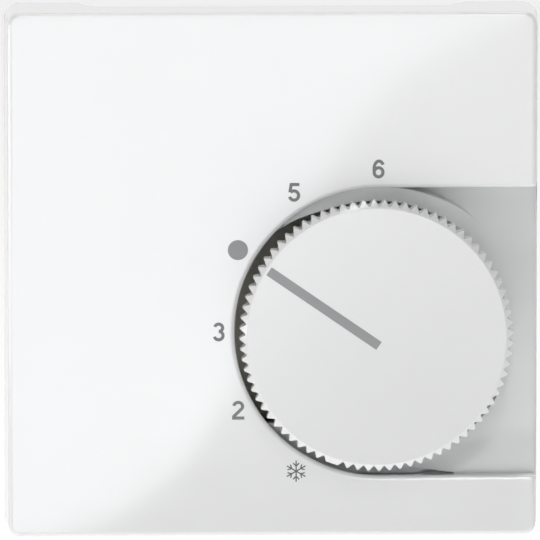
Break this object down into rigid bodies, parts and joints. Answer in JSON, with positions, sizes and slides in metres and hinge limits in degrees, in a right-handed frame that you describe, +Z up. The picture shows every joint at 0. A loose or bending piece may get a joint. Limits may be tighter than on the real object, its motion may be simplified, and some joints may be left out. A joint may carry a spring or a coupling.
{
  "type": "wall thermostat",
  "caption": "Flush-mounted room thermostat: square white cover with a side-open recess, a toothed setting knob, and a wall-box insert with a bimetal switch and spreading claws.",
  "frame": {"origin": "middle of the cover on the wall plane, y = 0, where the support ring lies on the wall", "axes": "+X to the user's right, +Z up, -Y out of the wall towards the user, +Y into the wall box"},
  "size_m": [0.0556, 0.0342, 0.0556],
  "materials": {
    "white_gloss_plastic": "glossy white moulded thermoplastic",
    "white_knob_plastic": "satin white moulded thermoplastic",
    "natural_plastic": "unpainted natural moulding",
    "grey_plastic": "fine matt grey moulding, also the grey of the printed scale",
    "blue_plastic": "moulded",
    "red_plastic": "moulded",
    "zinc_steel": "zinc plated",
    "brass": "bare",
    "copper": "bare copper strip",
    "bimetal": "rolled strip",
    "silver": "contact silver",
    "ferrite": "sintered magnet",
    "resistor_enamel": "enamel"
  },
  "bodies": {
    "insert": {"cover_plate": "white_gloss_plastic", "cover_screw": "zinc_steel", "follower_spring": "zinc_steel", "mechanism_deck": "natural_plastic", "bimetal_clamp": "zinc_steel", "bimetal_rivet_1": "brass", "bimetal_rivet_2": "brass", "contact_arm": "brass", "fixed_contact": "silver", "contact_rivet": "brass", "snap_magnet": "ferrite", "calibration_screw": "brass", "feedback_resistor": "resistor_enamel", "insert_housing": "grey_plastic", "support_ring": "zinc_steel", "claw_screw_top": "zinc_steel", "claw_screw_bottom": "zinc_steel", "claw_nut_top": "zinc_steel", "claw_nut_bottom": "zinc_steel", "terminal_block": "grey_plastic", "live_busbar": "copper", "load_busbar": "copper", "neutral_busbar": "copper", "setback_busbar": "copper", "deck_screw_1": "zinc_steel", "ring_rivet_1": "zinc_steel", "terminal_cage_1": "brass", "terminal_screw_1": "zinc_steel", "deck_screw_2": "zinc_steel", "ring_rivet_2": "zinc_steel", "terminal_cage_2": "brass", "terminal_screw_2": "zinc_steel", "deck_screw_3": "zinc_steel", "ring_rivet_3": "zinc_steel", "terminal_cage_3": "brass", "terminal_screw_3": "zinc_steel", "deck_screw_4": "zinc_steel", "ring_rivet_4": "zinc_steel", "terminal_cage_4": "brass", "terminal_screw_4": "zinc_steel"},
    "dial": {"knob_spindle": "natural_plastic", "spindle_clip": "zinc_steel", "setting_cam": "natural_plastic"},
    "knob": {"setting_knob": "white_knob_plastic", "min_limit_ring": "blue_plastic", "max_limit_ring": "red_plastic"},
    "follower": {"cam_follower": "natural_plastic"},
    "bimetal": {"bimetal_strip": "bimetal", "moving_contact": "silver"},
    "claw_top_body": {"claw_top": "zinc_steel"},
    "claw_bottom_body": {"claw_bottom": "zinc_steel"}
  },
  "joints": [
    {"name": "dial_turn", "type": "hinge", "parent": "insert", "child": "dial", "pos_m": [0.01075, 0, -0.00595], "axis": [0, -1, 0], "range_deg": [-60, 90]},
    {"name": "knob_pull", "type": "slide", "parent": "dial", "child": "knob", "axis": [0, -1, 0], "range_m": [0, 0.006]},
    {"name": "follower_slide", "type": "slide", "parent": "insert", "child": "follower", "axis": [0, 0, 1], "range_m": [-0.00085, 0.00125], "stiffness_N_per_m": 0.002, "springref_m": 0.573, "deforming": ["follower_spring"]},
    {"name": "bimetal_flex", "type": "hinge", "parent": "insert", "child": "bimetal", "pos_m": [-0.012, 0.0033, -0.011], "axis": [-1, 0, 0], "range_deg": [-1, 0.85], "stiffness_Nm_per_rad": 0.05},
    {"name": "claw_top_spread", "type": "hinge", "parent": "insert", "child": "claw_top_body", "pos_m": [0, 0.0012, 0.0238], "axis": [1, 0, 0], "range_deg": [0, 20]},
    {"name": "claw_bottom_spread", "type": "hinge", "parent": "insert", "child": "claw_bottom_body", "pos_m": [0, 0.0012, -0.0238], "axis": [-1, 0, 0], "range_deg": [0, 20]}
  ],
  "couplings": [
    {"joint": "follower_slide", "follows": "dial_turn", "m_per_rad": 0.00076394}
  ]
}
